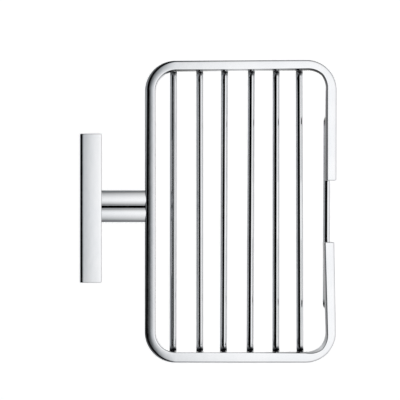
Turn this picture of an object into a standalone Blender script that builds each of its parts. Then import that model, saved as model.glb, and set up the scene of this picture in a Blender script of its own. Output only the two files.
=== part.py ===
"""Soap basket for a wall: a chromed wall bar on a hidden wall plate, two stem bars, an open ring
frame and a cradle of bent rods below it.

The wall is the plane Y = 0 and the basket reaches towards -Y. X runs along the wall and Z is up.
The origin is the middle of the wall plate's back face. Lengths are in metres.
"""

import math

import bmesh
import bpy
from mathutils import Vector

# Clearances
SEAT_GAP = 0.0003
THREAD_GAP = 0.0003
HOLE_END_ROOM = 0.0008
CUT_OVERRUN = 0.002
WELD_DISTANCE = 0.00001

# Wall bar, a block with a pocket in its back
BAR_LENGTH = 0.098
BAR_DEPTH = 0.0136
BAR_HEIGHT = 0.020
BAR_EDGE_RADIUS = 0.001
BAR_SIDE_WALL = 0.002
BAR_FRONT_WALL = 0.0025

# Wall plate, which the bar hides
PLATE_THICKNESS = 0.002
PLATE_SIDE_PLAY = 0.0008
PLATE_CORNER_RADIUS = 0.0015
PLATE_LEDGE_REACH = 0.005
PLATE_LEDGE_INSET = 0.0042
PLATE_HOLE_RADIUS = 0.0026
PLATE_HOLE_INSET = 0.0192
COUNTERSINK_RADIUS = 0.0042
COUNTERSINK_DEPTH = 0.0012
LUG_WIDTH = 0.009
LUG_THICKNESS = 0.003
LUG_REACH = 0.0075

# Set screws, from below through the bar
SET_SCREW_RADIUS = 0.002
SET_SCREW_LENGTH = 0.004
SET_SCREW_RECESS = 0.0002
SET_SCREW_INSET = 0.009
SET_SCREW_CHAMFER = 0.0004
SET_SCREW_POINT_RADIUS = 0.0012
SET_SCREW_KEY_RADIUS = 0.00115
SET_SCREW_KEY_DEPTH = 0.0018

# Stem, two bars side by side. Each has an egg-shaped section whose crown lies nearer to the other
STEM_HEIGHT = 0.0103
STEM_OUTER_WIDTH = 0.0065
STEM_INNER_WIDTH = 0.0041
STEM_SIDE_GAP = 0.0003

# How far the stem's and the ring's middles stand to one side of the wall bar's middle
STEM_SIDE_SHIFT = 0.0012
RING_SIDE_SHIFT = -0.0021

# Screws and washers that hold the stem bars to the wall bar
STEM_SCREW_RADIUS = 0.0025
STEM_SCREW_LENGTH = 0.016
STEM_SCREW_HEAD_RADIUS = 0.00425
STEM_SCREW_HEAD_HEIGHT = 0.005
STEM_SCREW_CHAMFER = 0.0004
STEM_SCREW_KEY_RADIUS = 0.0023
STEM_SCREW_KEY_DEPTH = 0.0025
WASHER_RADIUS = 0.0049
WASHER_THICKNESS = 0.001

# Studs between the stem bars and the ring
STUD_RADIUS = 0.0025
STUD_IN_RING = 0.0042
STUD_IN_STEM = 0.0075
STUD_CHAMFER = 0.0004

# Ring frame, one bent bar with an open front
RING_WALL_DISTANCE = 0.0426
RING_LENGTH = 0.200
RING_DEPTH = 0.127
RING_CORNER_RADIUS = 0.020
RING_FRONT_GAP = 0.0405
RING_BAR_WIDTH = 0.007
RING_BAR_HEIGHT = 0.011
RING_BAR_ROUNDING = 0.002
RING_END_ROUNDING = 0.0007

# Cradle rods and the front rod, all of one wire
WIRE_RADIUS = 0.0024
WIRE_BEND_RADIUS = 0.005
ROD_DROP = 0.030
ROD_COUNT = 6
FIRST_ROD_SETBACK = 0.015
LAST_ROD_SETBACK = 0.0185
FRONT_LEG_SETBACK = 0.04125

# How finely round shapes are divided
ROUND_STEPS = 32
SMALL_ROUND_STEPS = 24
BAR_EDGE_STEPS = 3
SECTION_CORNER_STEPS = 4
RING_CORNER_STEPS = 10
RING_END_STEPS = 2
BEND_STEPS = 6
WIRE_RESOLUTION = 4
HEX_SIDES = 6
SOFT_EDGE_ANGLE = math.radians(35)

# Places that follow from the sizes above
STEM_PITCH = STEM_OUTER_WIDTH + STEM_INNER_WIDTH + STEM_SIDE_GAP
STEM_CROWN_PLACE = STEM_INNER_WIDTH + STEM_SIDE_GAP / 2
STEM_PLACES = {side: STEM_SIDE_SHIFT + side * STEM_PITCH / 2 for side in (-1, 1)}
POCKET_DEPTH = BAR_DEPTH - BAR_FRONT_WALL
POCKET_HEIGHT = BAR_HEIGHT - 2 * BAR_SIDE_WALL
POCKET_LENGTH = BAR_LENGTH - 2 * BAR_SIDE_WALL
PLATE_LENGTH = POCKET_LENGTH - 2 * PLATE_SIDE_PLAY
PLATE_LEDGE_LENGTH = PLATE_LENGTH - 2 * PLATE_LEDGE_INSET
PLATE_HOLE_PLACE = PLATE_LENGTH / 2 - PLATE_HOLE_INSET
SET_SCREW_PLACE = BAR_LENGTH / 2 - SET_SCREW_INSET
PLATE_TOP = POCKET_HEIGHT / 2 - SEAT_GAP
PLATE_BOTTOM = -(POCKET_HEIGHT / 2 - PLATE_SIDE_PLAY)
SET_SCREW_BASE = -BAR_HEIGHT / 2 + SET_SCREW_RECESS
LUG_UNDERSIDE = SET_SCREW_BASE + SET_SCREW_LENGTH + SEAT_GAP
SET_SCREW_SETBACK = BAR_DEPTH / 2
RING_MIDDLE = RING_WALL_DISTANCE + RING_DEPTH / 2
BACK_BAR_MIDDLE = RING_WALL_DISTANCE + RING_BAR_WIDTH / 2
FRONT_BAR_MIDDLE = RING_WALL_DISTANCE + RING_DEPTH - RING_BAR_WIDTH / 2
SIDE_BAR_MIDDLE = (RING_LENGTH - RING_BAR_WIDTH) / 2
ROD_SPREAD = FRONT_BAR_MIDDLE - BACK_BAR_MIDDLE - FIRST_ROD_SETBACK - LAST_ROD_SETBACK
ROD_PITCH = ROD_SPREAD / (ROD_COUNT - 1)
FRONT_LEG_PLACE = RING_FRONT_GAP / 2 + FRONT_LEG_SETBACK
LEG_HEIGHT = ROD_DROP - RING_BAR_HEIGHT / 2 - SEAT_GAP

# Turns that lay a piece's Z axis towards the wall or away from it
TO_WALL = (-math.pi / 2, 0, 0)
FROM_WALL = (math.pi / 2, 0, 0)

CHROME = ("bright_chrome", (0.80, 0.82, 0.84), 0.06)
STEEL = ("zinc_plated_steel", (0.62, 0.63, 0.64), 0.35)
STAINLESS = ("stainless_steel", (0.55, 0.56, 0.57), 0.25)


def clear_scene():
    for thing in list(bpy.data.objects):
        bpy.data.objects.remove(thing, do_unlink=True)


def new_collection(name):
    collection = bpy.data.collections.new(name)
    bpy.context.scene.collection.children.link(collection)
    return collection


def material(look):
    name, colour, roughness = look
    made = bpy.data.materials.get(name)
    if made is None:
        made = bpy.data.materials.new(name)
        made.use_nodes = True
        shader = made.node_tree.nodes["Principled BSDF"]
        shader.inputs["Base Color"].default_value = (*colour, 1)
        shader.inputs["Roughness"].default_value = roughness
        shader.inputs["Metallic"].default_value = 1
    return made


def place(name, data, look=None, location=(0, 0, 0), rotation=(0, 0, 0)):
    """Links a piece to the part's collection, or a cutter to the cutters'."""
    thing = bpy.data.objects.new(name, data)
    thing.location = location
    thing.rotation_euler = rotation
    if look is None:
        CUTTERS.objects.link(thing)
        thing.hide_render = True
        thing.display_type = "WIRE"
    else:
        PARTS.objects.link(thing)
        data.materials.append(material(look))
    return thing


def shaded(data):
    data.shade_smooth()
    data.set_sharp_from_angle(angle=SOFT_EDGE_ANGLE)
    return data


def round_edges(shape, edges, radius, steps):
    bmesh.ops.bevel(
        shape,
        geom=edges,
        offset=radius,
        offset_type="OFFSET",
        segments=steps,
        profile=0.5,
        affect="EDGES",
    )


def box_mesh(name, size, middle=(0, 0, 0), rounding=0, along=None, steps=1):
    """A block. Its edges that run along the axis number `along` are rounded, or all where None."""
    mesh = bpy.data.meshes.new(name)
    shape = bmesh.new()
    bmesh.ops.create_cube(shape, size=1)
    bmesh.ops.scale(shape, vec=size, verts=shape.verts)
    bmesh.ops.translate(shape, vec=middle, verts=shape.verts)
    if rounding:
        edges = [edge for edge in shape.edges if along is None or runs_along(edge, along)]
        round_edges(shape, edges, rounding, steps)
    shape.to_mesh(mesh)
    shape.free()
    return shaded(mesh)


def runs_along(edge, axis):
    run = edge.verts[1].co - edge.verts[0].co
    return abs(run.normalized()[axis]) > 0.9


def cylinder_mesh(name, radius, length, steps, far_radius=None):
    """A round bar or a cone on the Z axis, from Z = 0 up to its length."""
    mesh = bpy.data.meshes.new(name)
    shape = bmesh.new()
    bmesh.ops.create_cone(
        shape,
        cap_ends=True,
        segments=steps,
        radius1=radius,
        radius2=radius if far_radius is None else far_radius,
        depth=length,
    )
    bmesh.ops.translate(shape, vec=(0, 0, length / 2), verts=shape.verts)
    shape.to_mesh(mesh)
    shape.free()
    return shaded(mesh)


def turned(name, profile, look, location, rotation, closed=False):
    """A piece turned round its Z axis from (radius, height) points that run down its outer side."""
    mesh = bpy.data.meshes.new(name)
    points = [(radius, 0, height) for radius, height in profile]
    edges = [(index, index + 1) for index in range(len(points) - 1)]
    if closed:
        edges.append((len(points) - 1, 0))
    mesh.from_pydata(points, edges, [])
    piece = place(name, mesh, look, location, rotation)
    spin = piece.modifiers.new("turn", "SCREW")
    spin.axis = "Z"
    spin.steps = SMALL_ROUND_STEPS
    spin.render_steps = SMALL_ROUND_STEPS
    spin.use_merge_vertices = True
    spin.merge_threshold = WELD_DISTANCE
    spin.use_smooth_shade = True
    return piece


def cut(piece, cutter):
    bite = piece.modifiers.new("cut " + cutter.name, "BOOLEAN")
    bite.operation = "DIFFERENCE"
    bite.solver = "EXACT"
    bite.object = cutter


def join(piece, other):
    weld = piece.modifiers.new("join " + other.name, "BOOLEAN")
    weld.operation = "UNION"
    weld.solver = "EXACT"
    weld.object = other


def empty(name, location=(0, 0, 0)):
    point = bpy.data.objects.new(name, None)
    point.location = location
    PARTS.objects.link(point)
    return point


def mesh_from_curve(curve_object):
    """Takes the curve's solid as a mesh with its end caps welded, and drops the curve."""
    graph = bpy.context.evaluated_depsgraph_get()
    mesh = bpy.data.meshes.new_from_object(curve_object.evaluated_get(graph))
    shape = bmesh.new()
    shape.from_mesh(mesh)
    bmesh.ops.remove_doubles(shape, verts=shape.verts, dist=WELD_DISTANCE)
    bmesh.ops.recalc_face_normals(shape, faces=shape.faces)
    shape.to_mesh(mesh)
    shape.free()
    bpy.data.objects.remove(curve_object, do_unlink=True)
    return shaded(mesh)


def poly_curve(name, points, closed=False):
    curve = bpy.data.curves.new(name, "CURVE")
    curve.dimensions = "3D"
    spline = curve.splines.new("POLY")
    spline.points.add(len(points) - 1)
    for point, place_of in zip(spline.points, points):
        point.co = (*place_of, 1)
    spline.use_cyclic_u = closed
    return curve


def arc(middle, radius, start, end, steps):
    """Points in a plane, on a circle round the middle, from one angle in degrees to another."""
    angles = [math.radians(start + (end - start) * step / steps) for step in range(steps + 1)]
    return [
        (middle[0] + radius * math.cos(angle), middle[1] + radius * math.sin(angle))
        for angle in angles
    ]


def rounded_rectangle(width, height, radius, steps):
    across = width / 2 - radius
    up = height / 2 - radius
    corners = [((across, up), 0), ((-across, up), 90), ((-across, -up), 180), ((across, -up), 270)]
    return [
        point for middle, start in corners for point in arc(middle, radius, start, start + 90, steps)
    ]


def make_wall_bar():
    bar = place(
        "wall_bar",
        box_mesh(
            "wall_bar",
            (BAR_LENGTH, BAR_DEPTH, BAR_HEIGHT),
            rounding=BAR_EDGE_RADIUS,
            steps=BAR_EDGE_STEPS,
        ),
        CHROME,
        (0, -BAR_DEPTH / 2, 0),
    )
    pocket = box_mesh("bar_pocket", (POCKET_LENGTH, POCKET_DEPTH + CUT_OVERRUN, POCKET_HEIGHT))
    cut(bar, place("bar_pocket", pocket, location=(0, (CUT_OVERRUN - POCKET_DEPTH) / 2, 0)))
    for side in (-1, 1):
        hole = cylinder_mesh(
            "stem_screw_hole",
            STEM_SCREW_RADIUS + THREAD_GAP,
            BAR_FRONT_WALL + 2 * CUT_OVERRUN,
            SMALL_ROUND_STEPS,
        )
        start = (STEM_PLACES[side], -POCKET_DEPTH + CUT_OVERRUN, 0)
        cut(bar, place("stem_screw_hole", hole, location=start, rotation=FROM_WALL))
        hole = cylinder_mesh(
            "set_screw_hole",
            SET_SCREW_RADIUS + THREAD_GAP,
            BAR_SIDE_WALL + 2 * CUT_OVERRUN,
            SMALL_ROUND_STEPS,
        )
        start = (
            side * SET_SCREW_PLACE,
            -SET_SCREW_SETBACK,
            -BAR_HEIGHT / 2 - CUT_OVERRUN,
        )
        cut(bar, place("set_screw_hole", hole, location=start))
    return bar


def make_wall_plate():
    """A steel plate with a ledge along its top, which carries the bar, and two lugs below."""
    height = PLATE_TOP - PLATE_BOTTOM
    middle = (0, -PLATE_THICKNESS / 2, (PLATE_TOP + PLATE_BOTTOM) / 2)
    plate = place(
        "wall_plate",
        box_mesh(
            "wall_plate",
            (PLATE_LENGTH, PLATE_THICKNESS, height),
            middle=middle,
            rounding=PLATE_CORNER_RADIUS,
            along=1,
            steps=SECTION_CORNER_STEPS,
        ),
        STEEL,
    )
    ledge = box_mesh(
        "plate_ledge",
        (PLATE_LEDGE_LENGTH, PLATE_LEDGE_REACH + PLATE_THICKNESS / 2, PLATE_THICKNESS),
        middle=(
            0,
            -(PLATE_THICKNESS + PLATE_LEDGE_REACH + PLATE_THICKNESS / 2) / 2,
            PLATE_TOP - PLATE_THICKNESS / 2,
        ),
    )
    join(plate, place("plate_ledge", ledge))
    for side in (-1, 1):
        lug = box_mesh(
            "plate_lug",
            (LUG_WIDTH, LUG_REACH + PLATE_THICKNESS / 2, LUG_THICKNESS),
            middle=(
                side * SET_SCREW_PLACE,
                -(PLATE_THICKNESS + LUG_REACH + PLATE_THICKNESS / 2) / 2,
                LUG_UNDERSIDE + LUG_THICKNESS / 2,
            ),
        )
        join(plate, place("plate_lug", lug))
        hole = cylinder_mesh(
            "wall_screw_hole",
            PLATE_HOLE_RADIUS,
            PLATE_THICKNESS + 2 * CUT_OVERRUN,
            SMALL_ROUND_STEPS,
        )
        start = (side * PLATE_HOLE_PLACE, CUT_OVERRUN, 0)
        cut(plate, place("wall_screw_hole", hole, location=start, rotation=FROM_WALL))
        slope = (COUNTERSINK_RADIUS - PLATE_HOLE_RADIUS) / COUNTERSINK_DEPTH
        sink = cylinder_mesh(
            "wall_screw_countersink",
            PLATE_HOLE_RADIUS,
            COUNTERSINK_DEPTH + CUT_OVERRUN,
            SMALL_ROUND_STEPS,
            far_radius=COUNTERSINK_RADIUS + slope * CUT_OVERRUN,
        )
        start = (side * PLATE_HOLE_PLACE, COUNTERSINK_DEPTH - PLATE_THICKNESS, 0)
        cut(
            plate,
            place("wall_screw_countersink", sink, location=start, rotation=FROM_WALL),
        )
    return plate


def make_set_screw(name, side):
    """A headless screw, point up. It turns in the bar's underside and presses the lug above it."""
    profile = [
        (0, SET_SCREW_LENGTH),
        (SET_SCREW_POINT_RADIUS, SET_SCREW_LENGTH),
        (SET_SCREW_RADIUS, SET_SCREW_LENGTH - (SET_SCREW_RADIUS - SET_SCREW_POINT_RADIUS)),
        (SET_SCREW_RADIUS, SET_SCREW_CHAMFER),
        (SET_SCREW_RADIUS - SET_SCREW_CHAMFER, 0),
        (0, 0),
    ]
    start = Vector((side * SET_SCREW_PLACE, -SET_SCREW_SETBACK, SET_SCREW_BASE))
    screw = turned(name, profile, STAINLESS, start, (0, 0, 0))
    key = cylinder_mesh(
        "set_screw_key", SET_SCREW_KEY_RADIUS, SET_SCREW_KEY_DEPTH + CUT_OVERRUN, HEX_SIDES
    )
    cut(screw, place("set_screw_key", key, location=start - Vector((0, 0, CUT_OVERRUN))))
    return screw


def egg_bar_mesh(name, length, side):
    """A bar on the Z axis whose section is two half ellipses, the wider one on the given side."""
    mesh = cylinder_mesh(name, 1, length, ROUND_STEPS)
    for corner in mesh.vertices:
        outer = corner.co.x * side > 0
        corner.co.x *= STEM_OUTER_WIDTH if outer else STEM_INNER_WIDTH
        corner.co.y *= STEM_HEIGHT / 2
    return shaded(mesh)


def make_stem_bar(name, side):
    """A bar from the wall bar to the ring, whose end is hollowed to the ring's section."""
    start = BAR_DEPTH + SEAT_GAP
    end = RING_WALL_DISTANCE + RING_BAR_ROUNDING
    middle_x = STEM_PLACES[side]
    stem = place(
        name,
        egg_bar_mesh(name, end - start, side),
        CHROME,
        (STEM_SIDE_SHIFT + side * STEM_CROWN_PLACE, -start, 0),
        FROM_WALL,
    )
    saddle = box_mesh(
        "ring_saddle",
        (
            2 * (STEM_PITCH + CUT_OVERRUN),
            RING_BAR_WIDTH + 2 * SEAT_GAP,
            RING_BAR_HEIGHT + 2 * SEAT_GAP,
        ),
        rounding=RING_BAR_ROUNDING + SEAT_GAP,
        along=0,
        steps=2 * SECTION_CORNER_STEPS,
    )
    cut(stem, place("ring_saddle", saddle, location=(middle_x, -BACK_BAR_MIDDLE, 0)))
    screw_reach = STEM_SCREW_LENGTH - WASHER_THICKNESS - 2 * SEAT_GAP - BAR_FRONT_WALL
    near_hole = cylinder_mesh(
        "stem_screw_thread",
        STEM_SCREW_RADIUS + THREAD_GAP,
        screw_reach + HOLE_END_ROOM + CUT_OVERRUN,
        SMALL_ROUND_STEPS,
    )
    cut(
        stem,
        place(
            "stem_screw_thread",
            near_hole,
            location=(middle_x, CUT_OVERRUN - BAR_DEPTH, 0),
            rotation=FROM_WALL,
        ),
    )
    far_hole = cylinder_mesh(
        "stud_thread_in_stem",
        STUD_RADIUS + THREAD_GAP,
        STUD_IN_STEM + HOLE_END_ROOM + CUT_OVERRUN,
        SMALL_ROUND_STEPS,
    )
    cut(
        stem,
        place(
            "stud_thread_in_stem",
            far_hole,
            location=(middle_x, -(RING_WALL_DISTANCE + CUT_OVERRUN), 0),
            rotation=TO_WALL,
        ),
    )
    return stem


def make_stem_screw(name, side):
    """A cap screw, head inside the wall bar, that pulls a stem bar against the bar's front."""
    head_top = STEM_SCREW_HEAD_HEIGHT
    profile = [
        (0, head_top),
        (STEM_SCREW_HEAD_RADIUS - STEM_SCREW_CHAMFER, head_top),
        (STEM_SCREW_HEAD_RADIUS, head_top - STEM_SCREW_CHAMFER),
        (STEM_SCREW_HEAD_RADIUS, 0),
        (STEM_SCREW_RADIUS, 0),
        (STEM_SCREW_RADIUS, STEM_SCREW_CHAMFER - STEM_SCREW_LENGTH),
        (STEM_SCREW_RADIUS - STEM_SCREW_CHAMFER, -STEM_SCREW_LENGTH),
        (0, -STEM_SCREW_LENGTH),
    ]
    under_head = POCKET_DEPTH - WASHER_THICKNESS - 2 * SEAT_GAP
    start = Vector((STEM_PLACES[side], -under_head, 0))
    screw = turned(name, profile, STAINLESS, start, TO_WALL)
    key = cylinder_mesh(
        "stem_screw_key", STEM_SCREW_KEY_RADIUS, STEM_SCREW_KEY_DEPTH + CUT_OVERRUN, HEX_SIDES
    )
    key_start = start + Vector((0, STEM_SCREW_HEAD_HEIGHT - STEM_SCREW_KEY_DEPTH, 0))
    cut(screw, place("stem_screw_key", key, location=key_start, rotation=TO_WALL))
    return screw


def make_stem_washer(name, side):
    bore = STEM_SCREW_RADIUS + THREAD_GAP
    profile = [
        (WASHER_RADIUS, WASHER_THICKNESS),
        (WASHER_RADIUS, 0),
        (bore, 0),
        (bore, WASHER_THICKNESS),
    ]
    start = (STEM_PLACES[side], SEAT_GAP - POCKET_DEPTH, 0)
    return turned(name, profile, STAINLESS, start, TO_WALL, closed=True)


def make_ring_stud(name, side):
    """A headless stud, half in a stem bar's end and half in the ring."""
    length = STUD_IN_RING + STUD_IN_STEM
    profile = [
        (0, length),
        (STUD_RADIUS - STUD_CHAMFER, length),
        (STUD_RADIUS, length - STUD_CHAMFER),
        (STUD_RADIUS, STUD_CHAMFER),
        (STUD_RADIUS - STUD_CHAMFER, 0),
        (0, 0),
    ]
    start = (STEM_PLACES[side], -(RING_WALL_DISTANCE + STUD_IN_RING), 0)
    return turned(name, profile, STAINLESS, start, TO_WALL)


def ring_path():
    """The bar's centre line about the ring's middle, from one side of the front gap to the other."""
    side = SIDE_BAR_MIDDLE
    front = RING_MIDDLE - FRONT_BAR_MIDDLE
    back = RING_MIDDLE - BACK_BAR_MIDDLE
    radius = RING_CORNER_RADIUS - RING_BAR_WIDTH / 2
    points = [(RING_FRONT_GAP / 2, front)]
    points += arc((side - radius, front + radius), radius, -90, 0, RING_CORNER_STEPS)
    points += arc((side - radius, back - radius), radius, 0, 90, RING_CORNER_STEPS)
    points += arc((radius - side, back - radius), radius, 90, 180, RING_CORNER_STEPS)
    points += arc((radius - side, front + radius), radius, 180, 270, RING_CORNER_STEPS)
    points.append((-RING_FRONT_GAP / 2, front))
    return [(x, y, 0) for x, y in points]


def make_ring_frame():
    section_points = rounded_rectangle(
        RING_BAR_WIDTH, RING_BAR_HEIGHT, RING_BAR_ROUNDING, SECTION_CORNER_STEPS
    )
    section = place(
        "ring_section", poly_curve("ring_section", [(x, y, 0) for x, y in section_points], True)
    )
    path = poly_curve("ring_path", ring_path())
    path.twist_mode = "Z_UP"
    path.bevel_mode = "OBJECT"
    path.bevel_object = section
    path.use_fill_caps = True
    sweep = place("ring_path", path, CHROME)
    bpy.context.view_layer.update()
    ring_place = (RING_SIDE_SHIFT, -RING_MIDDLE, 0)
    ring = place("ring_frame", mesh_from_curve(sweep), CHROME, ring_place)
    soft_ends(ring.data)
    for side in (-1, 1):
        hole = cylinder_mesh(
            "stud_thread_in_ring",
            STUD_RADIUS + THREAD_GAP,
            STUD_IN_RING + HOLE_END_ROOM + CUT_OVERRUN,
            SMALL_ROUND_STEPS,
        )
        start = (STEM_PLACES[side], CUT_OVERRUN - RING_WALL_DISTANCE, 0)
        cut(
            ring,
            place("stud_thread_in_ring", hole, location=start, rotation=FROM_WALL),
        )
    return ring


def soft_ends(mesh):
    """Rounds the edges of the two cut ends, which face each other across the front gap."""
    shape = bmesh.new()
    shape.from_mesh(mesh)
    ends = [
        edge
        for edge in shape.edges
        if all(abs(abs(corner.co.x) - RING_FRONT_GAP / 2) < SEAT_GAP for corner in edge.verts)
        and all(corner.co.y < 0 for corner in edge.verts)
        and len(edge.link_faces) == 2
        and any(len(face.verts) > 4 for face in edge.link_faces)
    ]
    round_edges(shape, ends, RING_END_ROUNDING, RING_END_STEPS)
    shape.to_mesh(mesh)
    shape.free()
    shaded(mesh)


def bent_rod(name, half_span, distance):
    """A rod along X at the cradle's level, whose ends turn up to the underside of the ring."""
    radius = WIRE_BEND_RADIUS
    points = [(-half_span, LEG_HEIGHT)]
    points += arc((radius - half_span, radius), radius, 180, 270, BEND_STEPS)
    points += arc((half_span - radius, radius), radius, 270, 360, BEND_STEPS)
    points.append((half_span, LEG_HEIGHT))
    wire = poly_curve(name, [(x, 0, z) for x, z in points])
    wire.bevel_depth = WIRE_RADIUS
    wire.bevel_resolution = WIRE_RESOLUTION
    wire.use_fill_caps = True
    return place(name, wire, CHROME, (RING_SIDE_SHIFT, -distance, -ROD_DROP))


def make_cradle_rods():
    return [
        bent_rod(
            f"cradle_rod_{number + 1}",
            SIDE_BAR_MIDDLE,
            BACK_BAR_MIDDLE + FIRST_ROD_SETBACK + number * ROD_PITCH,
        )
        for number in range(ROD_COUNT)
    ]


clear_scene()
PARTS = new_collection("soap_basket")
CUTTERS = new_collection("cutters")

wall_side = empty("wall_side")
basket_side = empty("basket_side")

make_wall_plate().parent = wall_side

basket_pieces = [make_wall_bar(), make_ring_frame(), *make_cradle_rods()]
basket_pieces.append(bent_rod("front_rod", FRONT_LEG_PLACE, FRONT_BAR_MIDDLE))
for hand, side in (("left", -1), ("right", 1)):
    basket_pieces += [
        make_set_screw("set_screw_" + hand, side),
        make_stem_bar("stem_bar_" + hand, side),
        make_stem_screw("stem_screw_" + hand, side),
        make_stem_washer("stem_washer_" + hand, side),
        make_ring_stud("ring_stud_" + hand, side),
    ]
for piece in basket_pieces:
    piece.parent = basket_side
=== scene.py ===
"""Looks of the wall-mounted soap basket: chromed pieces with fine surfaces, steel fixings, a pale
floor, soft studio light and the photograph's camera, which looks straight down.

Everything is in metres in the frame's axes: the wall is Y = 0, the basket reaches towards -Y, X
runs along the wall and Z is up. Where a value is given for each side, 1 is the right side (+X)
and -1 the left.
"""

import math

import bmesh
import bpy
from mathutils import Matrix, Vector


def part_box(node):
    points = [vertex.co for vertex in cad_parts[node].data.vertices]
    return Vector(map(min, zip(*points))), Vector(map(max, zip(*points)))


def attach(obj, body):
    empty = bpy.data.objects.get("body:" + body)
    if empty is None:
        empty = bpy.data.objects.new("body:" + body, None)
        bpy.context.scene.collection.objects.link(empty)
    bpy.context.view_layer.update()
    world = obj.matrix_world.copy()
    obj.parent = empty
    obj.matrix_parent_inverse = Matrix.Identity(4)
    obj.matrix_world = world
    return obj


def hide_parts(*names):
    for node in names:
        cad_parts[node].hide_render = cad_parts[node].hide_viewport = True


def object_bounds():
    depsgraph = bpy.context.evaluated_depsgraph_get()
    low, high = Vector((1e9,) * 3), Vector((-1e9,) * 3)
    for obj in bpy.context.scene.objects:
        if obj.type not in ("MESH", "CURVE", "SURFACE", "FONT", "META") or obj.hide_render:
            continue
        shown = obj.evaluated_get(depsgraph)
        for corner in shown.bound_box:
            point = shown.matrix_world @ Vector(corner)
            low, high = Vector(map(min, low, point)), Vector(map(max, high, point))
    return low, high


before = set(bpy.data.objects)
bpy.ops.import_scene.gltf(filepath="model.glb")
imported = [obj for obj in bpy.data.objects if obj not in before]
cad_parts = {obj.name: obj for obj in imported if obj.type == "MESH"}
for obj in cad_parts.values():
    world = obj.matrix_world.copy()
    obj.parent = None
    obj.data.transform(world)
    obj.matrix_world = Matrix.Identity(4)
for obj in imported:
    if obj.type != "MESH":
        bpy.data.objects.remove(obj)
cad_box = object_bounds()

MM = 0.001
SHARP_EDGE = math.radians(32)

# Camera: where it stands, its lens, its quarter turn and how near and far it sees
CAMERA_PLACE = Vector((5.4, -79.0, 970.0)) * MM
CAMERA_LENS = 131.7
CAMERA_SENSOR = 36.0
CAMERA_TURN = math.radians(-90)
CAMERA_CLIP = (0.01, 100)

# Studio light overhead and in front: it starts at its edge towards the wall, loses strength
# forward, and has only a share left out to either side. Each pair is two angles in degrees,
# forward from straight overhead or to either side, between which the light changes.
OVERHEAD_EDGE = (-11.0, 2.5)
OVERHEAD_LIGHT = 1.55
FORWARD_FADE = (20.0, 95.0)
FORWARD_LOSS = 0.6
SIDE_FADE = (0.0, 105.0)
SIDE_SHARE = 0.25

# Weaker glows low over the wall and at either end, and the light's colours
WALL_EDGE = (-68.0, -56.0)
WALL_GLOW = 0.6
END_EDGE = (58.0, 82.0)
END_GLOW = 0.3
SCREEN_TINT = (0.93, 0.98, 1.02)
LIGHT_TINT = (1.0, 1.0, 1.0)

# Floor: how far it lies below the object, its size and its own glow. It is pale under the object,
# and its colour and glow fall to a painted shade further off towards the wall and to the right.
FLOOR_DEPTH = 300 * MM
FLOOR_REACH = 20.0
FLOOR_GRID = 8
FLOOR_GLOW = 0.4
FLOOR_LIT_REACH = (0.21, 0.60)
FLOOR_PAINT = (0.95, 0.95, 0.95)
FLOOR_SHADE = (0.55, 0.56, 0.57)

# Chrome plate: clouds of haze, polishing lines and a ripple. It is darker seen edge-on.
CHROME_COLOURS = ((0.585, 0.595, 0.61), (0.615, 0.62, 0.63))
CHROME_ROUGHNESS = (0.05, 0.085)
CHROME_GRAZE = (0.8, 0.81, 0.82, 1)
HAZE_SCALE = 55.0
POLISH_SCALE = 2600.0
POLISH_STRETCH = (1.0, 1.0, 0.15)
POLISH_SHARE = 0.02
RIPPLE_SCALE = 240.0
RIPPLE_STRENGTH = 0.05
RIPPLE_DEPTH = 0.2 * MM
STEM_RIPPLE_DEPTH = 0.08 * MM

# Colours of painted shade on the chrome, which turns black edge-on
PAINTED_SHADE_RING = (0.04, 0.043, 0.046, 1)
PAINTED_SHADE_RODS = (0.06, 0.065, 0.07, 1)
PAINTED_SHADE_STEMS = (0.03, 0.032, 0.035, 1)
PAINTED_SHADE_GRAZE = (0, 0, 0, 1)

# Zinc plate: its crystals, and a grain that runs along the plate
ZINC_COLOURS = ((0.46, 0.48, 0.51), (0.66, 0.68, 0.70))
ZINC_ROUGHNESS = (0.3, 0.42)
CRYSTAL_SCALE = 420.0
GRAIN_STRETCH = (60.0, 1600.0, 1600.0)
GRAIN_STRENGTH = 0.25
GRAIN_DEPTH = 0.1 * MM

# Turned stainless steel: its stain and its tool marks
STAINLESS_COLOURS = ((0.45, 0.45, 0.45), (0.60, 0.60, 0.59))
STAINLESS_ROUGHNESS = (0.2, 0.3)
STAIN_SCALE = 700.0
TOOL_MARK_SCALE = 2200.0
TOOL_MARK_STRENGTH = 0.15
TOOL_MARK_DEPTH = 0.05 * MM

# Ring bar section: the top is nearly flat, with its crest nearer to the inner edge. Each pair of
# roundings is the outer and the inner edge's, and the bend is the top's curvature in 1/m. The
# points of an edge that lie nearest to the top never get painted shade.
RING_BAR_WIDTH = 7 * MM
RING_SOFT_ROUNDINGS = (2.9 * MM, 0.9 * MM)
RING_CRISP_ROUNDINGS = (1.3 * MM, 0.5 * MM)
RING_CREST_SHIFT = 2.3 * MM
RING_TOP_BEND = 20.0
EDGE_STEPS = 9
EDGE_TOP_POINTS = 3
CROWN_STEPS = 14

# Ring outline: the right side bar leans in towards the back. Each front arm stands back at its
# corner, and bows further back towards its free end.
RING_CORNER_RADIUS = 20 * MM
RING_SIDE_LEAN = 0.6 * MM
RING_FRONT_LEANS = {1: 0.35 * MM, -1: 0.85 * MM}
RING_FRONT_GAP = 40.5 * MM
RING_END_ROUNDING = 0.7 * MM
ARM_BOWS = {1: 0.15 * MM, -1: 1.05 * MM}
ARM_BOW_POWER = 1.05
ARM_STEPS = 10
CORNER_STEPS = 28

# Steps of a rounded end, on the ring and on the wall bar
END_STEPS = 6
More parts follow.
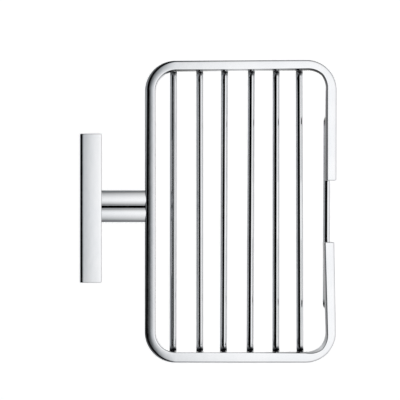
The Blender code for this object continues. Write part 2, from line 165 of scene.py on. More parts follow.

# Looks along the ring: how crisp the outer and the inner edge are, how far the inner side is cut
# back above and below in millimetres, and how much painted shade darkens the outer edge, the
# inner edge and the inner wall. Each arm has one at its free end and one at its corner. Each
# corner has one at its start, middle and end, and each side bar one in the middle.
RIGHT_ARM_LOOKS = (
    (1.0, 0.4, 0.65, 0.0, 0.0, 0.45, 0.85),
    (1.0, 0.4, 0.5, 0.35, 0.0, 0.45, 0.95),
)
LEFT_ARM_LOOKS = (
    (1.0, 0.4, 0.5, 0.0, 0.0, 0.5, 0.6),
    (1.0, 0.4, 1.15, 0.8, 0.0, 0.95, 0.75),
)
RIGHT_FRONT_LOOKS = (
    RIGHT_ARM_LOOKS[1],
    (1.0, 1.0, 1.9, 2.0, 0.0, 1.0, 1.0),
    (1.0, 1.0, 1.1, 0.7, 0.0, 1.0, 1.0),
)
RIGHT_SIDE_LOOK = (1.0, 1.0, 0.8, 0.85, 0.2, 0.15, 0.2)
RIGHT_BACK_LOOKS = (
    (1.0, 1.0, 0.95, 0.6, 1.0, 1.0, 1.0),
    (0.5, 0.5, 0.2, 0.2, 0.6, 0.5, 0.2),
    (0.15, 0.0, 0.0, 0.0, 0.15, 0.12, 0.0),
)
LEFT_BACK_LOOKS = (
    (0.95, 0.0, 0.0, 0.0, 1.0, 0.15, 0.0),
    (0.5, 0.5, 0.0, 0.3, 0.3, 0.1, 0.0),
    (1.0, 1.0, 0.0, 1.0, 0.0, 0.0, 0.0),
)
LEFT_SIDE_LOOK = (1.0, 1.0, 0.0, 1.0, 0.15, 0.05, 0.0)
LEFT_FRONT_LOOKS = (
    (1.0, 0.8, 0.3, 0.5, 0.1, 0.95, 0.7),
    (1.0, 0.5, 2.5, 1.3, 0.0, 1.0, 0.1),
    LEFT_ARM_LOOKS[1],
)

# Wires: their bends, and the small welds into which their legs flare under the ring
WIRE_BEND_RADIUS = 5 * MM
WIRE_BEND_STEPS = 20
WIRE_SIDES = 48
WIRE_MIDDLE_STEPS = 12
WELD_FLARE = 0.3 * MM
WELD_HEIGHT = 1.0 * MM
WELD_STEPS = 6
WELD_OVERLAP = 0.6 * MM

# How far the front rod's ends reach past those of the CAD's rod
FRONT_ROD_REACH = {1: 1.2 * MM, -1: 3.2 * MM}

# How far each wire's top line stands forward of its middle
WIRE_CREST_SHIFTS = {
    "cradle_rod_1": 1.0 * MM,
    "cradle_rod_2": 0.85 * MM,
    "cradle_rod_3": 0.65 * MM,
    "cradle_rod_4": 0.6 * MM,
    "cradle_rod_5": 0.65 * MM,
    "cradle_rod_6": 0.6 * MM,
    "front_rod": 0.75 * MM,
}

# How far each wire's two ends stand forward of their even places, right end first
ROD_STRAYS = {
    "cradle_rod_1": (-0.2 * MM, -0.55 * MM),
    "cradle_rod_2": (0.4 * MM, 0.4 * MM),
    "cradle_rod_3": (0.08 * MM, -0.72 * MM),
    "cradle_rod_4": (1.08 * MM, 0.18 * MM),
    "cradle_rod_5": (0.68 * MM, 0.48 * MM),
    "cradle_rod_6": (-0.86 * MM, -0.36 * MM),
    "front_rod": (-0.38 * MM, -0.88 * MM),
}

# Painted shade on the inner side of a wire's legs and bends: how dark on each side's leg, how far
# round the wire that reaches, and how fast it fades round the wire and along the bend
LEG_SHADES = {1: 0.85, -1: 1.0}
CRADLE_SHADE_REACH = 0.3
FRONT_SHADE_REACH = 1.0
SHADE_FADE = 1.5
BEND_FADE = 1.8

# Painted shade on a strip behind a wire's top line: how dark, and where the strip lies across the
# wire, from 0 at the top line to 1 at the rear
WIRE_SHADES = {"cradle_rod_1": 0.6}
SHADE_PLACE = (0.08, 0.52)

# Wall bar: its roundings, the top's slopes at the rear and at the front, and how far the front
# face stands proud of the CAD's at its top and at its bottom
BAR_REAR_DEPTH = 1.9 * MM
BAR_REAR_ROUNDING = 1.1 * MM
BAR_FRONT_ROUNDING = 0.6 * MM
BAR_END_ROUNDING = 0.6 * MM
BAR_TOP_SLOPES = {1: (0.0, 0.044), -1: (0.01, 0.044)}
BAR_FRONT_LEANS = (0.8 * MM, -0.2 * MM)
BAR_TOP_STEPS = 14
BAR_CORNER_STEPS = 9

# The wall bar's hollow and its screw holes, with how long the cutters of the holes are
BAR_SIDE_WALL = 2 * MM
BAR_FRONT_WALL = 2.5 * MM
STEM_SCREW_HOLE_RADIUS = 2.8 * MM
STEM_SCREW_CUT = 10 * MM
SET_SCREW_PLAY = 0.3 * MM
SET_SCREW_CUT = 6 * MM
CUT_OVERRUN = 2 * MM
HOLE_STEPS = 40

# Stem bars: the crown's distance from the CAD bar's outer side, the width outside the crown, the
# edges, the groove that each leaves at the joint, and how far each reaches past the CAD's inner
# side. The side flat is half the height of the flat strip along each side's middle.
STEM_CROWN_PLACE = 6.5 * MM
STEM_OUTER_WIDTH = 6.35 * MM
STEM_EDGE_SLOPE = math.radians(46)
STEM_EDGE_ROUNDING = 0.35 * MM
STEM_GROOVES = {1: 0.5 * MM, -1: 0.9 * MM}
STEM_JOINS = {1: 0.34 * MM, -1: 0.0 * MM}
STEM_SIDE_FLAT = 0.3 * MM
STEM_CROWN_STEPS = 12
STEM_EDGE_STEPS = 4

# How far a stem bar rises above the CAD's, how far it has tapered at the ring, and how far it
# runs into the wall bar and into the ring
STEM_RISE = 0.6 * MM
STEM_TAPER = 1.0 * MM
STEM_SEAT = 0.4 * MM
STEM_IN_RING = 1.6 * MM
STEM_STEPS = 16


class Value:
    """A number, vector or colour inside a shader. Sums on numbers add Math nodes."""

    def __init__(self, shader, socket):
        self.shader = shader
        self.socket = socket

    def math(self, operation, first, second=0.0):
        return self.shader.node("Math", {"operation": operation}, {0: first, 1: second})

    def __add__(self, other):
        return self.math("ADD", self, other)

    __radd__ = __add__

    def __sub__(self, other):
        return self.math("SUBTRACT", self, other)

    def __rsub__(self, other):
        return self.math("SUBTRACT", other, self)

    def __mul__(self, other):
        return self.math("MULTIPLY", self, other)

    __rmul__ = __mul__

    def __neg__(self):
        return self.math("MULTIPLY", self, -1.0)

    def ramp(self, low, high, start=0.0, end=1.0):
        """Start below low and end above high, with a soft change between."""
        return self.shader.node(
            "MapRange",
            {"interpolation_type": "SMOOTHSTEP"},
            {"Value": self, 1: low, 2: high, 3: start, 4: end},
        )


class Shader:
    """The node tree of one material or of the world."""

    def __init__(self, owner):
        owner.use_nodes = True
        self.tree = owner.node_tree
        self.tree.nodes.clear()

    def node(self, kind, settings=None, inputs=None, output=0):
        """Adds a node: its settings first, then the values and links of its sockets."""
        made = self.tree.nodes.new("ShaderNode" + kind)
        for name, setting in (settings or {}).items():
            setattr(made, name, setting)
        for name, given in (inputs or {}).items():
            if isinstance(given, Value):
                self.tree.links.new(given.socket, made.inputs[name])
            else:
                made.inputs[name].default_value = given
        return Value(self, made.outputs[output]) if made.outputs else None

    def parts(self, vector):
        """The vector's three numbers."""
        separate = self.node("SeparateXYZ", {}, {0: vector}).socket.node
        return [Value(self, socket) for socket in separate.outputs]

    def place(self, scale=(1, 1, 1)):
        """The point on the piece, in metres in the piece's own frame, stretched by scale."""
        point = self.node("TexCoord", output="Object")
        return self.node("VectorMath", {"operation": "MULTIPLY"}, {0: point, 1: scale})

    def noise(self, point, scale, detail):
        return self.node("TexNoise", {}, {"Vector": point, "Scale": scale, "Detail": detail})

    def tint(self, amount, dark, light):
        """A colour between two others."""
        return self.node(
            "Mix", {"data_type": "RGBA"}, {0: amount, 6: (*dark, 1), 7: (*light, 1)}, output=2
        )

    def metal(self, colour, roughness, bump, graze=(1, 1, 1, 1)):
        """A bare metal. Graze is the tint that it takes where it is seen edge-on."""
        return self.node(
            "BsdfPrincipled",
            {},
            {
                "Base Color": colour,
                "Roughness": roughness,
                "Metallic": 1.0,
                "Normal": bump,
                "Specular Tint": graze,
            },
        )

    def surface(self, shader):
        self.node("OutputMaterial", {}, {"Surface": shader})

    def bump(self, height, strength, distance):
        return self.node(
            "Bump", {}, {"Strength": strength, "Distance": distance, "Height": height}
        )


def new_material(name):
    material = bpy.data.materials.new(name)
    return material, Shader(material)


def bright_chrome(name, shade_colour=None, ripple_depth=RIPPLE_DEPTH):
    """Mirror-bright plate: faint clouds of haze, fine polishing lines and a hint of ripple.

    Where the mesh asks for painted shade, a dark colour that turns black edge-on is mixed in.
    """
    material, shader = new_material(name)
    haze = shader.noise(shader.place(), HAZE_SCALE, detail=3.0)
    lines = shader.noise(shader.place(POLISH_STRETCH), POLISH_SCALE, detail=2.0)
    ripple = shader.noise(shader.place(), RIPPLE_SCALE, detail=1.0)
    colour = shader.tint(haze.ramp(0.3, 0.7), *CHROME_COLOURS)
    roughness = haze.ramp(0.35, 0.75, *CHROME_ROUGHNESS) + lines * POLISH_SHARE
    bump = shader.bump(ripple + lines * POLISH_SHARE, RIPPLE_STRENGTH, ripple_depth)
    plate = shader.metal(colour, roughness, bump, CHROME_GRAZE)
    # Painted shade: where the mesh asks for it, the chrome is mixed with a dark colour that turns
    # black edge-on
    if shade_colour:
        shade_amount = shader.node("Attribute", {"attribute_name": "painted_shade"}, output="Fac")
        shaded_plate = shader.metal(shade_colour, roughness, bump, PAINTED_SHADE_GRAZE)
        plate = shader.node("MixShader", {}, {0: shade_amount, 1: plate, 2: shaded_plate})
    shader.surface(plate)
    return material


def zinc_plate():
    """Dull blue-grey zinc: pale and dark crystals with a brushed grain along the plate."""
    material, shader = new_material("zinc_plated_steel")
    crystals = shader.node(
        "TexVoronoi",
        {"feature": "F1"},
        {"Vector": shader.place(), "Scale": CRYSTAL_SCALE},
        output="Color",
    )
    patch = shader.parts(crystals)[0]
    grain = shader.noise(shader.place(GRAIN_STRETCH), 1.0, detail=4.0)
    colour = shader.tint(patch * 0.6 + grain * 0.4, *ZINC_COLOURS)
    roughness = patch.ramp(0.0, 1.0, *ZINC_ROUGHNESS) + grain * 0.06
    bump = shader.bump(grain + patch * 0.3, GRAIN_STRENGTH, GRAIN_DEPTH)
    shader.surface(shader.metal(colour, roughness, bump))
    return material


def turned_stainless():
    """Machined stainless steel: close tool marks and a slight stain."""
    material, shader = new_material("turned_stainless_steel")
    stain = shader.noise(shader.place(), STAIN_SCALE, detail=3.0)
    marks = shader.node(
        "TexWave",
        {"wave_type": "RINGS", "rings_direction": "SPHERICAL"},
        {"Vector": shader.place(), "Scale": TOOL_MARK_SCALE, "Distortion": 0.6, "Detail": 2.0},
        output="Fac",
    )
    colour = shader.tint(stain.ramp(0.25, 0.75), *STAINLESS_COLOURS)
    roughness = stain.ramp(0.2, 0.8, *STAINLESS_ROUGHNESS) + marks * 0.04
    bump = shader.bump(marks, TOOL_MARK_STRENGTH, TOOL_MARK_DEPTH)
    shader.surface(shader.metal(colour, roughness, bump))
    return material


CHROME = bright_chrome("bright_chrome_plate")
RING_CHROME = bright_chrome("bright_chrome_ring_with_painted_shade", PAINTED_SHADE_RING)
ROD_CHROME = bright_chrome("bright_chrome_rods_with_painted_shade", PAINTED_SHADE_RODS)
STEM_CHROME = bright_chrome("bright_chrome_stems_with_painted_shade", PAINTED_SHADE_STEMS, STEM_RIPPLE_DEPTH)
ZINC = zinc_plate()
STAINLESS = turned_stainless()


def sweep(name, stations, painted_shades=None):
    """A closed surface through rings of points, the same number in each, with flat ends.

    For each point, the shades give its share of painted shade, from 0 to 1.
    """
    shape = bmesh.new()
    rings = [[shape.verts.new(point) for point in station] for station in stations]
    for near, far in zip(rings, rings[1:]):
        for index in range(len(near)):
            after = (index + 1) % len(near)
            shape.faces.new((near[index], near[after], far[after], far[index]))
    shape.faces.new(reversed(rings[0]))
    shape.faces.new(rings[-1])
    bmesh.ops.recalc_face_normals(shape, faces=shape.faces)
    mesh = bpy.data.meshes.new(name)
    shape.to_mesh(mesh)
    shape.free()
    # Each point's share of painted shade, read by the chrome's shader
    if painted_shades:
        painted_shade = mesh.attributes.new("painted_shade", "FLOAT", "POINT")
        painted_shade.data.foreach_set("value", [value for ring in painted_shades for value in ring])
    mesh.shade_smooth()
    mesh.set_sharp_from_angle(angle=SHARP_EDGE)
    piece = bpy.data.objects.new(name, mesh)
    bpy.context.scene.collection.objects.link(piece)
    return piece


def chromed(piece, body, *nodes, plate=CHROME):
    """Gives the piece its plate, its body and the CAD nodes that it stands for."""
    piece.data.materials.clear()
    piece.data.materials.append(plate)
    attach(piece, body)
    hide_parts(*nodes)
    return piece


def ring_section(width, height, roundings):
    """(outward, up) points round the ring's bar: over the top to the inner side and back below."""
    half = width / 2
    crest = -RING_CREST_SHIFT
    outer_rounding, inner_rounding = roundings

    def rise(place):
        return height / 2 - RING_TOP_BEND * (place - crest) ** 2 / 2

    def edge(side, rounding):
        """An edge's points from the top down to the side. Side is 1 for the outer edge."""
        start = side * (half - rounding)
        slope = math.atan(RING_TOP_BEND * side * (start - crest))
        radius = rounding / (1 - math.sin(slope))
        points = []
        for step in range(EDGE_STEPS + 1):
            angle = slope + (math.radians(90) - slope) * step / EDGE_STEPS
            out = side * (half - radius + radius * math.sin(angle))
            points.append((out, rise(start) - radius * (math.cos(slope) - math.cos(angle))))
        return points

    top = edge(1, outer_rounding)[::-1]
    outer_start = half - outer_rounding
    inner_start = inner_rounding - half
    for step in range(1, CROWN_STEPS):
        place = outer_start + (inner_start - outer_start) * step / CROWN_STEPS
        top.append((place, rise(place)))
    top += edge(-1, inner_rounding)
    return top + [(u, -v) for u, v in reversed(top)]


def ring_zones():
    """For each point of the ring's section, the zone that it lies in."""
    outer = ["outer edge"] * (EDGE_STEPS + 1 - EDGE_TOP_POINTS)
    inner = ["inner edge"] * (EDGE_STEPS - EDGE_TOP_POINTS) + ["inner wall"]
    top = outer + ["top"] * (CROWN_STEPS - 1 + 2 * EDGE_TOP_POINTS) + inner
    return top + top[::-1]


def make_ring():
    """The open ring, swept from the right arm's free end round the back to the left arm's."""
    low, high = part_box("ring_frame")
    middle = (low + high) / 2
    half = RING_BAR_WIDTH / 2
    reach_x = (high.x - low.x) / 2 - half
    reach_y = (high.y - low.y) / 2 - half
    height = high.z - low.z
    radius = RING_CORNER_RADIUS - half
    soft = ring_section(RING_BAR_WIDTH, height, RING_SOFT_ROUNDINGS)
    crisp = ring_section(RING_BAR_WIDTH, height, RING_CRISP_ROUNDINGS)
    zones = ring_zones()
    stations = []
    painted_shades = []

    def add(place, out, look, shrink=0.0):
        """The section at a place, with its look, drawn in by shrink on every side."""
        # The last three values of a look are painted shade on the outer edge, the inner edge and
        # the inner wall
        outer_crisp, inner_crisp, cut_above, cut_below, *shade_amounts = look
        shade_amount = dict(zip(("outer edge", "inner edge", "inner wall"), shade_amounts))
        narrowed = 1 - shrink / half
        lowered = 1 - shrink / (height / 2)
        station = []
        for (u, v), (crisp_u, crisp_v) in zip(soft, crisp):
            crispness = outer_crisp if u > 0 else inner_crisp
            u += (crisp_u - u) * crispness
            v += (crisp_v - v) * crispness
            if u < 0:
                u -= u / half * (cut_above if v > 0 else cut_below) * MM
            station.append(middle + place + out * (u * narrowed) + Vector((0, 0, v * lowered)))
        stations.append(station)
        painted_shades.append([shade_amount.get(zone, 0.0) for zone in zones])

    def blend(first, second, share):
        return [a + (b - a) * share for a, b in zip(first, second)]

    def arm(side, looks):
        """The arm's stations from its free end to its corner: a rounded end, then the bow."""
        run = reach_x - radius - RING_FRONT_GAP / 2
        steps = []
        for step in range(END_STEPS):
            turn = math.radians(90) * step / END_STEPS
            along = RING_END_ROUNDING * (1 - math.cos(turn))
            steps.append((along, RING_END_ROUNDING * (1 - math.sin(turn))))
        for step in range(ARM_STEPS):
            steps.append((RING_END_ROUNDING + (run - RING_END_ROUNDING) * step / ARM_STEPS, 0.0))
        placed = []
        for along, shrink in steps:
            bow = ARM_BOWS[side] * (1 - along / run) ** ARM_BOW_POWER
            forward = reach_y - RING_FRONT_LEANS[side] - bow
            place = Vector((side * (RING_FRONT_GAP / 2 + along), -forward, 0))
            placed.append((place, Vector((0, -1, 0)), blend(*looks, along / run), shrink))
        return placed

    def corner(centre_x, centre_y, start, looks):
        """A quarter turn round a centre, from start in degrees."""
        for step in range(CORNER_STEPS + 1):
            share = 2 * step / CORNER_STEPS
            half_way = 0 if share <= 1 else 1
            look = blend(looks[half_way], looks[half_way + 1], share - half_way)
            angle = math.radians(start + 90 * step / CORNER_STEPS)
            out = Vector((math.cos(angle), math.sin(angle), 0))
            add(Vector((centre_x, centre_y, 0)) + out * radius, out, look)

    side_x = reach_x - radius
    side_y = reach_y - radius
    for station in arm(1, RIGHT_ARM_LOOKS):
        add(*station)
    corner(side_x, RING_FRONT_LEANS[1] - side_y, -90, RIGHT_FRONT_LOOKS)
    add(Vector((reach_x - RING_SIDE_LEAN / 2, 0, 0)), Vector((1, 0, 0)), RIGHT_SIDE_LOOK)
    corner(side_x - RING_SIDE_LEAN, side_y, 0, RIGHT_BACK_LOOKS)
    corner(-side_x, side_y, 90, LEFT_BACK_LOOKS)
    add(Vector((-reach_x, 0, 0)), Vector((-1, 0, 0)), LEFT_SIDE_LOOK)
    corner(-side_x, RING_FRONT_LEANS[-1] - side_y, 180, LEFT_FRONT_LOOKS)
    for station in reversed(arm(-1, LEFT_ARM_LOOKS)):
        add(*station)
    ring = sweep("polished_ring", stations, painted_shades)
    return chromed(ring, "basket", "ring_frame", plate=RING_CHROME)


def make_rod(node, name):
    """A bent wire along X, whose legs flare into small welds under the ring.

    It is swept from its left leg to its right one. Out points away from the bends' inner side: it
    turns from outward along a leg to downward along the middle.
    """
    low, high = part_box(node)
    wire = (high.y - low.y) / 2
    level = low.z + wire
    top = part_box("ring_frame")[0].z + WELD_OVERLAP
    middle = (low + high) / 2
    half = (high.x - low.x) / 2 - wire
    shade_reach = CRADLE_SHADE_REACH
    if node == "front_rod":
        middle.x += (FRONT_ROD_REACH[1] - FRONT_ROD_REACH[-1]) / 2
        half += (FRONT_ROD_REACH[1] + FRONT_ROD_REACH[-1]) / 2
        shade_reach = FRONT_SHADE_REACH
    bend = WIRE_BEND_RADIUS
    right_stray, left_stray = ROD_STRAYS[node]
    crest_shift = WIRE_CREST_SHIFTS[node]
    shade = WIRE_SHADES.get(node, 0.0)
    shade_start, shade_end = SHADE_PLACE
    rearward = Vector((0, 1, 0))
    stations = []
    painted_shades = []

    def add(x, z, out, radius, shade_amount):
        """A round of points that is deeper behind its top line than in front of it."""
        stray = (right_stray + left_stray) / 2 + (right_stray - left_stray) / 2 * x / half
        centre = Vector((middle.x + x, middle.y - crest_shift - stray, z))
        station = []
        point_shades = []
        for step in range(WIRE_SIDES):
            turn = math.tau * step / WIRE_SIDES
            u, v = math.cos(turn), math.sin(turn)
            reach = radius + crest_shift * (1 if v > 0 else -1)
            station.append(centre + out * (u * radius) + rearward * (v * reach))
            # Painted shade: a strip behind the top line, and the legs and bends darkened where they
            # run under the ring
            shaded = shade if u < 0 and shade_start < v < shade_end else 0.0
            leg_shade = shade_amount * max(0.0, min(1.0, shade_reach - SHADE_FADE * u))
            point_shades.append(max(shaded, leg_shade))
        stations.append(station)
        painted_shades.append(point_shades)

    def leg(side, steps):
        for step in steps:
            share = step / WELD_STEPS
            z = top - WELD_HEIGHT * share
            radius = wire + WELD_FLARE * (1 - math.sqrt(1 - (1 - share) ** 2))
            add(side * half, z, Vector((side, 0, 0)), radius, LEG_SHADES[side])

    def elbow(side, steps):
        for step in steps:
            share = step / WIRE_BEND_STEPS
            angle = math.radians(90) * share
            out = Vector((side * math.cos(angle), 0, -math.sin(angle)))
            x = side * (half - bend + bend * math.cos(angle))
            z = level + bend - bend * math.sin(angle)
            add(x, z, out, wire, LEG_SHADES[side] * min(1.0, BEND_FADE * (1 - share)))

    leg(-1, range(WELD_STEPS + 1))
    elbow(-1, range(WIRE_BEND_STEPS + 1))
    for step in range(1, WIRE_MIDDLE_STEPS):
        x = (half - bend) * (2 * step / WIRE_MIDDLE_STEPS - 1)
        add(x, level, Vector((0, 0, -1)), wire, 0.0)
    elbow(1, range(WIRE_BEND_STEPS, -1, -1))
    leg(1, range(WELD_STEPS, -1, -1))
    return chromed(sweep(name, stations, painted_shades), "basket", node, plate=ROD_CHROME)


def stem_half(width, groove, half_height):
    """(sideways, drop) points of half the stem's top: its crowned face, edge and a leaning side."""
    reach = width - groove
    slope = STEM_EDGE_SLOPE
    rounding = STEM_EDGE_ROUNDING
    radius = (reach - rounding * (1 - math.sin(slope))) / math.sin(slope)
    points = []
    for step in range(STEM_CROWN_STEPS + 1):
        angle = slope * step / STEM_CROWN_STEPS
        points.append((radius * math.sin(angle), radius * (1 - math.cos(angle))))
    base = radius * (1 - math.cos(slope)) + rounding * math.cos(slope)
    for step in range(1, STEM_EDGE_STEPS + 1):
        angle = slope + (math.pi / 2 - slope) * step / STEM_EDGE_STEPS
        sideways = reach - rounding + rounding * math.sin(angle)
        points.append((sideways, base - rounding * math.cos(angle)))
    points.append((width, half_height - STEM_SIDE_FLAT))
    return points


def stem_section(outer, inner, height, side):
    """(sideways, up) points round the stem, whose inner side leans back to leave a groove."""
    outside = stem_half(outer, 0.0, height / 2)
    inside = stem_half(inner, STEM_GROOVES[side], height / 2)
    top = [(-side * u, height / 2 - drop) for u, drop in reversed(inside)]
    top += [(side * u, height / 2 - drop) for u, drop in outside[1:]]
    return top + [(u, -v) for u, v in reversed(top)]


def make_stem(node, name, side):
    """A polished bar, slightly slimmer at the ring, that runs into the ring's outer side."""
    low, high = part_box(node)
    half_height = (high.z - low.z) / 2 + STEM_RISE
    inner = high.x - low.x - STEM_CROWN_PLACE + STEM_JOINS[side]
    crown_x = high.x - STEM_CROWN_PLACE if side > 0 else low.x + STEM_CROWN_PLACE
    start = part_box("wall_bar")[0].y + STEM_SEAT
    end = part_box("ring_frame")[1].y - STEM_IN_RING
    stations = []
    for step in range(STEM_STEPS + 1):
        share = step / STEM_STEPS
        height = 2 * (half_height - STEM_TAPER * share)
        y = start + (end - start) * share
        section = stem_section(STEM_OUTER_WIDTH, inner, height, side)
        stations.append([Vector((crown_x + u, y, v)) for u, v in section])
    # Painted shade on the groove walls between the two stem bars
    groove_shade = [1.0] * (STEM_EDGE_STEPS + 1)
    top = groove_shade + [0.0] * (2 * STEM_CROWN_STEPS + STEM_EDGE_STEPS + 2)
    painted_shades = [top + top[::-1]] * len(stations)
    return chromed(sweep(name, stations, painted_shades), "basket", node, plate=STEM_CHROME)


def wall_bar_section(low, high, slopes):
    """(Y, Z) points round the wall bar, whose top falls forward in a slow curve."""
    rear_slope, front_slope = slopes
    lean_above, lean_below = BAR_FRONT_LEANS
    back = high.y - BAR_REAR_DEPTH
    fore_above = low.y - lean_above + BAR_FRONT_ROUNDING
    fore_below = low.y - lean_below + BAR_FRONT_ROUNDING
    span = back - fore_above
    points = []

    def corner(centre_y, centre_z, depth, height, start, turn):
        """A corner that is depth by height, from start on through a turn, in degrees."""
        for step in range(BAR_CORNER_STEPS + 1):
            angle = math.radians(start + turn * step / BAR_CORNER_STEPS)
            y = centre_y + depth * math.cos(angle)
            points.append((y, centre_z + height * math.sin(angle)))

    def rear_corner(centre_z, start, turn):
        corner(back, centre_z, BAR_REAR_DEPTH, BAR_REAR_ROUNDING, start, turn)

    def front_corner(centre_y, centre_z, start, turn):
        corner(centre_y, centre_z, BAR_FRONT_ROUNDING, BAR_FRONT_ROUNDING, start, turn)

    rear_corner(high.z - BAR_REAR_ROUNDING, 0, 90 + math.degrees(math.atan(rear_slope)))
    for step in range(1, BAR_TOP_STEPS):
        share = step / BAR_TOP_STEPS
        drop = span * (rear_slope * share + (front_slope - rear_slope) * share * share / 2)
        points.append((back - span * share, high.z - drop))
    fall = (rear_slope + front_slope) / 2 * span
    lean = math.degrees(math.atan(front_slope))
    front_corner(fore_above, high.z - fall - BAR_FRONT_ROUNDING, 90 + lean, 90 - lean)
    front_corner(fore_below, low.z + BAR_FRONT_ROUNDING, 180, 90)
    rear_corner(low.z + BAR_REAR_ROUNDING, 270, 90)
    return points


def cutter_box(size, middle):
    shape = bmesh.new()
    bmesh.ops.create_cube(shape, size=1)
    bmesh.ops.scale(shape, vec=size, verts=shape.verts)
    bmesh.ops.translate(shape, vec=middle, verts=shape.verts)
    return cutter(shape)


def cutter_rod(radius, length, middle, turn):
    shape = bmesh.new()
    bmesh.ops.create_cone(
        shape, cap_ends=True, segments=HOLE_STEPS, radius1=radius, radius2=radius, depth=length
    )
    bmesh.ops.transform(shape, matrix=Matrix.Translation(middle) @ turn, verts=shape.verts)
    return cutter(shape)


def cutter(shape):
    mesh = bpy.data.meshes.new("cutter")
    shape.to_mesh(mesh)
    shape.free()
    made = bpy.data.objects.new("cutter", mesh)
    bpy.context.scene.collection.objects.link(made)
    return made


def cut_away(piece, cutters):
    """Cuts the piece, then drops the cutters."""
    for other in cutters:
        bite = piece.modifiers.new("cut", "BOOLEAN")
        bite.operation = "DIFFERENCE"
        bite.solver = "EXACT"
        bite.object = other
    bpy.context.view_layer.update()
    graph = bpy.context.evaluated_depsgraph_get()
    mesh = bpy.data.meshes.new_from_object(piece.evaluated_get(graph))
    piece.modifiers.clear()
    piece.data = mesh
    for other in cutters:
        bpy.data.objects.remove(other, do_unlink=True)
    mesh.shade_smooth()
    mesh.set_sharp_from_angle(angle=SHARP_EDGE)


def make_wall_bar():
    """The block between its two rounded ends, hollow from behind and drilled for the screws."""
    low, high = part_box("wall_bar")
    sections = {side: wall_bar_section(low, high, BAR_TOP_SLOPES[side]) for side in (1, -1)}
    middle_y = (low.y + high.y) / 2
    half_y = (high.y - low.y) / 2
    half_z = (high.z - low.z) / 2
    stations = []

    def end(side, steps):
        for step in steps:
            turn = math.radians(90) * step / END_STEPS
            shrink = BAR_END_ROUNDING * (1 - math.sin(turn))
            back = BAR_END_ROUNDING * (1 - math.cos(turn))
            x = (high.x if side > 0 else low.x) - side * back
            station = []
            for y, z in sections[side]:
                y = middle_y + (y - middle_y) * (1 - shrink / half_y)
                station.append(Vector((x, y, z * (1 - shrink / half_z))))
            stations.append(station)

    end(-1, range(END_STEPS + 1))
    end(1, range(END_STEPS, -1, -1))
    bar = sweep("polished_wall_bar", stations)
    pocket_low = low + Vector((BAR_SIDE_WALL, BAR_FRONT_WALL, BAR_SIDE_WALL))
    pocket_high = high + Vector((-BAR_SIDE_WALL, CUT_OVERRUN, -BAR_SIDE_WALL))
    cutters = [cutter_box(pocket_high - pocket_low, (pocket_low + pocket_high) / 2)]
    along_y = Matrix.Rotation(math.pi / 2, 4, "X")
    along_z = Matrix.Identity(4)
    for hand in ("left", "right"):
        screw_low, screw_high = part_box("stem_screw_" + hand)
        centre = (screw_low + screw_high) / 2
        centre.y = low.y
        cutters.append(cutter_rod(STEM_SCREW_HOLE_RADIUS, STEM_SCREW_CUT, centre, along_y))
        set_low, set_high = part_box("set_screw_" + hand)
        centre = (set_low + set_high) / 2
        centre.z = low.z
        bore = (set_high.x - set_low.x) / 2 + SET_SCREW_PLAY
        cutters.append(cutter_rod(bore, SET_SCREW_CUT, centre, along_z))
    cut_away(bar, cutters)
    return chromed(bar, "basket", "wall_bar")


def finish_fixings():
    """The hidden steel pieces keep their own shapes and get their finish here."""
    for node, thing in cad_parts.items():
        look = None
        if node == "wall_plate":
            look = ZINC
        elif node.startswith(("set_screw", "stem_screw", "stem_washer", "ring_stud")):
            look = STAINLESS
        if look:
            thing.data.materials.clear()
            thing.data.materials.append(look)


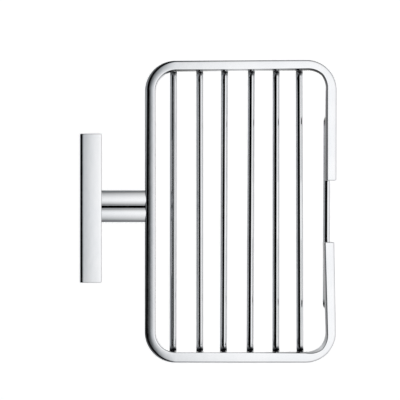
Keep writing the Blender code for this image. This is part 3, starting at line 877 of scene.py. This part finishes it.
def lay_floor():
    """A wide floor with a painted shade further off. Its glow shows to the camera and in
    reflections but lights nothing.
    """
    low, high = cad_box
    middle = (low + high) / 2
    shape = bmesh.new()
    bmesh.ops.create_grid(shape, x_segments=FLOOR_GRID, y_segments=FLOOR_GRID, size=FLOOR_REACH)
    mesh = bpy.data.meshes.new("floor")
    shape.to_mesh(mesh)
    shape.free()
    floor = bpy.data.objects.new("floor", mesh)
    floor.location = (middle.x, middle.y, low.z - FLOOR_DEPTH)
    bpy.context.scene.collection.objects.link(floor)
    material, shader = new_material("pale_floor")
    seen = sum(
        shader.node("LightPath", output=kind)
        for kind in ("Is Camera Ray", "Is Glossy Ray", "Is Transmission Ray")
    )
    x, y, _ = shader.parts(shader.place())
    # Painted shade: the floor's colour and glow fall off towards the wall and to the right
    lit = y.ramp(*FLOOR_LIT_REACH, 1.0, 0.0) * x.ramp(*FLOOR_LIT_REACH, 1.0, 0.0)
    paint = shader.node(
        "BsdfPrincipled",
        {},
        {
            "Base Color": shader.tint(lit, FLOOR_SHADE, FLOOR_PAINT),
            "Roughness": 1.0,
            "Specular IOR Level": 0.0,
            "Emission Color": (1, 1, 1, 1),
            "Emission Strength": seen * lit * FLOOR_GLOW,
        },
    )
    shader.surface(paint)
    mesh.materials.append(material)


def light_studio():
    """A wide soft light overhead and in front, and a dark screen on the wall's side of it."""
    world = bpy.data.worlds.new("studio")
    bpy.context.scene.world = world
    shader = Shader(world)
    x, y, z = shader.parts(shader.node("TexCoord", output="Generated"))
    forward = shader.node("Math", {"operation": "ARCTAN2"}, {0: -y, 1: z}) * math.degrees(1)
    sideways = shader.node("Math", {"operation": "ARCSINE"}, {0: x})
    side = shader.node("Math", {"operation": "ABSOLUTE"}, {0: sideways}) * math.degrees(1)
    overhead = forward.ramp(*OVERHEAD_EDGE, 0.0, OVERHEAD_LIGHT)
    overhead -= forward.ramp(*FORWARD_FADE, 0.0, FORWARD_LOSS)
    wall_glow = forward.ramp(*WALL_EDGE, WALL_GLOW, 0.0)
    fall_off = side.ramp(*SIDE_FADE, 1.0, SIDE_SHARE)
    at_end = side.ramp(*END_EDGE)
    strength = (overhead + wall_glow) * fall_off * (1 - at_end) + at_end * END_GLOW
    colour = shader.tint(forward.ramp(*OVERHEAD_EDGE), SCREEN_TINT, LIGHT_TINT)
    light = shader.node("Background", {}, {"Color": colour, "Strength": strength})
    shader.node("OutputWorld", {}, {"Surface": light})


def set_camera():
    """The photograph's camera: it looks straight down, with the wall on its left."""
    data = bpy.data.cameras.new("camera")
    data.lens = CAMERA_LENS
    data.sensor_width = CAMERA_SENSOR
    data.clip_start, data.clip_end = CAMERA_CLIP
    camera = bpy.data.objects.new("camera", data)
    camera.location = CAMERA_PLACE
    camera.rotation_euler = (0, 0, CAMERA_TURN)
    bpy.context.scene.collection.objects.link(camera)
    bpy.context.scene.camera = camera


make_ring()
make_wall_bar()
for hand, side in (("left", -1), ("right", 1)):
    make_stem("stem_bar_" + hand, "polished_stem_" + hand, side)
for number in range(1, 7):
    make_rod(f"cradle_rod_{number}", f"polished_rod_{number}")
make_rod("front_rod", "polished_front_rod")
finish_fixings()
lay_floor()
light_studio()
set_camera()
bpy.context.scene.view_settings.view_transform = "Standard"
